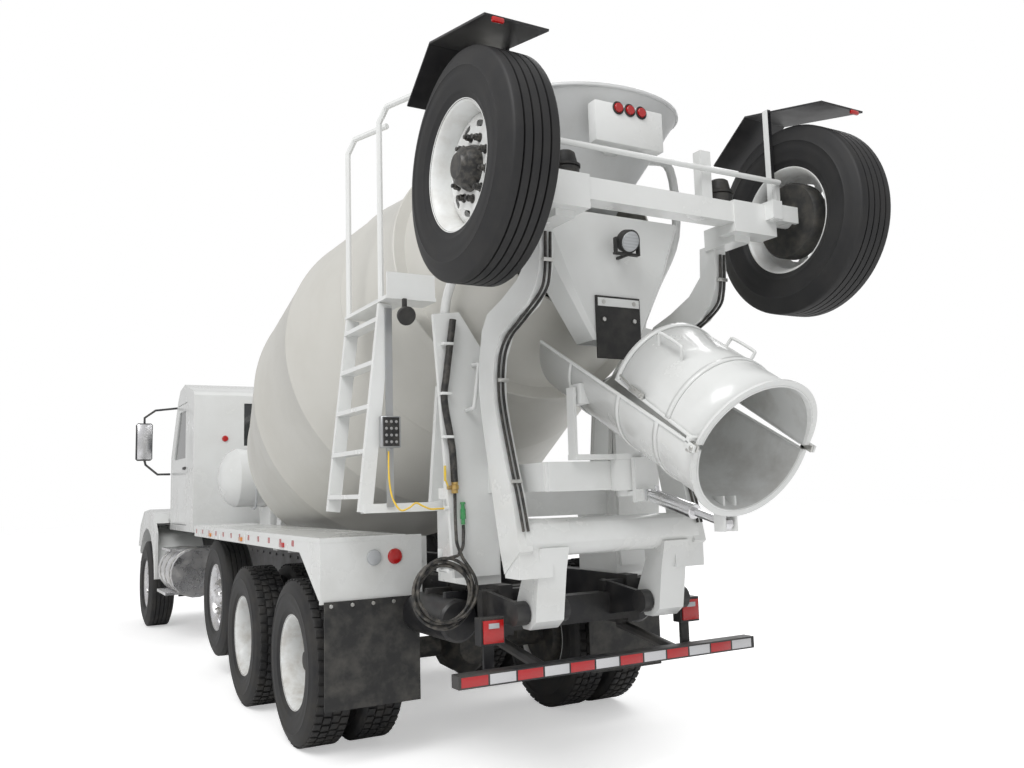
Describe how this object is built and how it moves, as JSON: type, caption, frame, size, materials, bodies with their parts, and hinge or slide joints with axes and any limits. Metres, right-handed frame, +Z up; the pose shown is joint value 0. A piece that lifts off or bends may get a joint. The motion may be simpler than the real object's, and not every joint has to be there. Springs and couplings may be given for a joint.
{
  "type": "concrete mixer truck",
  "caption": "Rear-discharge concrete mixer truck with an inclined drum, hoppers, a swinging and folding chute, a lifting pusher axle and a trailing booster axle folded up behind.",
  "frame": {"origin": "on the ground, under the middle of the truck's length and width", "axes": "+Y forwards to the cab, +X to the truck's right, +Z up"},
  "size_m": [2.912, 10.7984, 3.8169],
  "materials": {
    "white_paint": "gloss white paint, dusty low down",
    "drum_paint": "cream grey paint with cement dust",
    "black_steel": "black chassis paint",
    "cast_iron": "raw cast iron",
    "polished_aluminium": "polished",
    "tyre": "rubber on painted or polished rims",
    "rubber": "matt rubber",
    "dark_trim": "matt",
    "yellow_sheath": "yellow sheath"
  },
  "bodies": {
    "chassis": {"frame_rails": "black_steel", "front_bumper": "polished_aluminium", "underride_guard": "black_steel", "drive_axle_front": "black_steel", "drive_axle_rear": "black_steel", "pusher_axle": "black_steel", "steer_axle": "black_steel", "engine_block": "cast_iron", "fuel_tank_left": "polished_aluminium", "fuel_tank_right": "polished_aluminium", "water_tank": "white_paint", "front_pedestal": "white_paint", "rear_pedestal": "white_paint", "charge_hopper": "white_paint", "discharge_hopper": "white_paint", "rubber_flap": "rubber", "ladder": "white_paint", "platform": "white_paint", "deck_left": "white_paint", "deck_right": "white_paint", "mud_flap_left": "rubber", "mud_flap_right": "rubber", "cab_shell": "white_paint", "cab_interior": "dark_trim", "mirror_left": "dark_trim", "mirror_right": "dark_trim", "keypad": "dark_trim", "keypad_cord": "yellow_sheath", "wash_hose": "rubber", "wash_hose_coil": "rubber", "wash_hose_tail": "rubber", "spray_nozzle": "dark_trim", "water_line": "dark_trim"},
    "steer_wheel_left": {"steer_wheel_left": "tyre"},
    "steer_wheel_right": {"steer_wheel_right": "tyre"},
    "pusher_wheel_left": {"pusher_wheel_left": "tyre"},
    "pusher_wheel_right": {"pusher_wheel_right": "tyre"},
    "booster_wheel_left": {"booster_wheel_left": "tyre"},
    "booster_wheel_right": {"booster_wheel_right": "tyre"},
    "drive_wheels_front_left": {"drive_wheels_front_left": "tyre"},
    "drive_wheels_front_right": {"drive_wheels_front_right": "tyre"},
    "drive_wheels_rear_left": {"drive_wheels_rear_left": "tyre"},
    "drive_wheels_rear_right": {"drive_wheels_rear_right": "tyre"},
    "drum": {"drum": "drum_paint"},
    "hood": {"hood": "white_paint"},
    "cab_door_left": {"cab_door_left": "white_paint"},
    "cab_door_right": {"cab_door_right": "white_paint"},
    "steer_knuckle_left": {"steer_knuckle_left": "cast_iron"},
    "steer_knuckle_right": {"steer_knuckle_right": "cast_iron"},
    "tie_rod": {"tie_rod": "black_steel"},
    "booster_frame": {"booster_frame": "white_paint"},
    "booster_knuckle_left": {"booster_knuckle_left": "black_steel"},
    "booster_knuckle_right": {"booster_knuckle_right": "black_steel"},
    "booster_tie_rod": {"booster_tie_rod": "black_steel"},
    "chute_post": {"chute_post": "white_paint"},
    "main_chute": {"main_chute": "white_paint"},
    "flip_chute": {"flip_chute": "white_paint"},
    "lift_cylinder": {"lift_cylinder": "black_steel"},
    "lift_rod": {"lift_rod": "polished_aluminium"}
  },
  "joints": [
    {"name": "drum_spin", "type": "hinge", "parent": "chassis", "child": "drum", "pos_m": [0, 0.2892, 1.99], "axis": [0, -0.9627, 0.2706], "continuous": true},
    {"name": "steer_left", "type": "hinge", "parent": "chassis", "child": "steer_knuckle_left", "pos_m": [-0.86, 4.4732, 0.532], "axis": [0, 0, 1], "range_deg": [-32, 32]},
    {"name": "steer_right", "type": "hinge", "parent": "chassis", "child": "steer_knuckle_right", "pos_m": [0.86, 4.4732, 0.532], "axis": [0, 0, 1], "range_deg": [-32, 32]},
    {"name": "tie_rod_shift", "type": "slide", "parent": "chassis", "child": "tie_rod", "axis": [1, 0, 0], "range_m": [-0.112, 0.112]},
    {"name": "steer_wheel_spin_left", "type": "hinge", "parent": "steer_knuckle_left", "child": "steer_wheel_left", "pos_m": [-1.095, 4.4732, 0.532], "axis": [1, 0, 0], "continuous": true},
    {"name": "pusher_wheel_spin_left", "type": "hinge", "parent": "chassis", "child": "pusher_wheel_left", "pos_m": [-1.01, 0.6142, 0.683], "axis": [1, 0, 0], "continuous": true},
    {"name": "drive_wheels_front_left_spin", "type": "hinge", "parent": "chassis", "child": "drive_wheels_front_left", "pos_m": [-0.9285, -0.8468, 0.524], "axis": [1, 0, 0], "continuous": true},
    {"name": "drive_wheels_rear_left_spin", "type": "hinge", "parent": "chassis", "child": "drive_wheels_rear_left", "pos_m": [-0.9285, -2.2208, 0.524], "axis": [1, 0, 0], "continuous": true},
    {"name": "steer_wheel_spin_right", "type": "hinge", "parent": "steer_knuckle_right", "child": "steer_wheel_right", "pos_m": [1.095, 4.4732, 0.532], "axis": [1, 0, 0], "continuous": true},
    {"name": "pusher_wheel_spin_right", "type": "hinge", "parent": "chassis", "child": "pusher_wheel_right", "pos_m": [1.01, 0.6142, 0.683], "axis": [1, 0, 0], "continuous": true},
    {"name": "drive_wheels_front_right_spin", "type": "hinge", "parent": "chassis", "child": "drive_wheels_front_right", "pos_m": [0.9285, -0.8468, 0.524], "axis": [1, 0, 0], "continuous": true},
    {"name": "drive_wheels_rear_right_spin", "type": "hinge", "parent": "chassis", "child": "drive_wheels_rear_right", "pos_m": [0.9285, -2.2208, 0.524], "axis": [1, 0, 0], "continuous": true},
    {"name": "booster_lower", "type": "hinge", "parent": "chassis", "child": "booster_frame", "pos_m": [0, -3.9738, 0.945], "axis": [1, 0, 0], "range_deg": [0, 84]},
    {"name": "booster_steer_left", "type": "hinge", "parent": "booster_frame", "child": "booster_knuckle_left", "pos_m": [-0.83, -4.5988, 3.036], "axis": [0, 0.9945, 0.1045], "range_deg": [-20, 20]},
    {"name": "booster_wheel_spin_left", "type": "hinge", "parent": "booster_knuckle_left", "child": "booster_wheel_left", "pos_m": [-1.019, -4.5988, 3.036], "axis": [1, 0, 0], "continuous": true},
    {"name": "booster_steer_right", "type": "hinge", "parent": "booster_frame", "child": "booster_knuckle_right", "pos_m": [0.83, -4.5988, 3.036], "axis": [0, 0.9945, 0.1045], "range_deg": [-20, 20]},
    {"name": "booster_wheel_spin_right", "type": "hinge", "parent": "booster_knuckle_right", "child": "booster_wheel_right", "pos_m": [1.019, -4.5988, 3.036], "axis": [1, 0, 0], "continuous": true},
    {"name": "booster_tie_rod_shift", "type": "slide", "parent": "booster_frame", "child": "booster_tie_rod", "axis": [1, 0, 0], "range_m": [-0.07, 0.07]},
    {"name": "hood_tilt", "type": "hinge", "parent": "chassis", "child": "hood", "pos_m": [0, 5.2792, 0.8], "axis": [-1, 0, 0], "range_deg": [0, 60]},
    {"name": "door_swing_left", "type": "hinge", "parent": "chassis", "child": "cab_door_left", "pos_m": [-1.04, 3.7132, 1.8], "axis": [0, 0, -1], "range_deg": [0, 65]},
    {"name": "door_swing_right", "type": "hinge", "parent": "chassis", "child": "cab_door_right", "pos_m": [1.04, 3.7132, 1.8], "axis": [0, 0, 1], "range_deg": [0, 65]},
    {"name": "chute_swing", "type": "hinge", "parent": "chassis", "child": "chute_post", "pos_m": [0, -4.2508, 1.72], "axis": [0, 0, 1], "range_deg": [-45, 45]},
    {"name": "chute_tilt", "type": "hinge", "parent": "chute_post", "child": "main_chute", "pos_m": [0, -4.2508, 2.06], "axis": [-1, 0, 0], "range_deg": [-10, 20]},
    {"name": "chute_flip", "type": "hinge", "parent": "main_chute", "child": "flip_chute", "pos_m": [0, -5.1908, 1.731], "axis": [1, 0, 0], "range_deg": [0, 165]},
    {"name": "lift_cylinder_swivel", "type": "hinge", "parent": "chute_post", "child": "lift_cylinder", "pos_m": [0, -4.4458, 1.535], "axis": [-1, 0, 0], "range_deg": [-15, 29]},
    {"name": "lift_rod_extend", "type": "slide", "parent": "lift_cylinder", "child": "lift_rod", "axis": [0, -0.9696, -0.2447], "range_m": [-0.09, 0.175]}
  ],
  "couplings": [
    {"joint": "steer_right", "follows": "steer_left", "ratio": 1},
    {"joint": "tie_rod_shift", "follows": "steer_left", "m_per_rad": 0.2},
    {"joint": "booster_steer_right", "follows": "booster_steer_left", "ratio": 1},
    {"joint": "booster_tie_rod_shift", "follows": "booster_steer_left", "m_per_rad": 0.2},
    {"joint": "lift_cylinder_swivel", "follows": "chute_tilt", "ratio": 1.42},
    {"joint": "lift_rod_extend", "follows": "chute_tilt", "m_per_rad": 0.49}
  ]
}
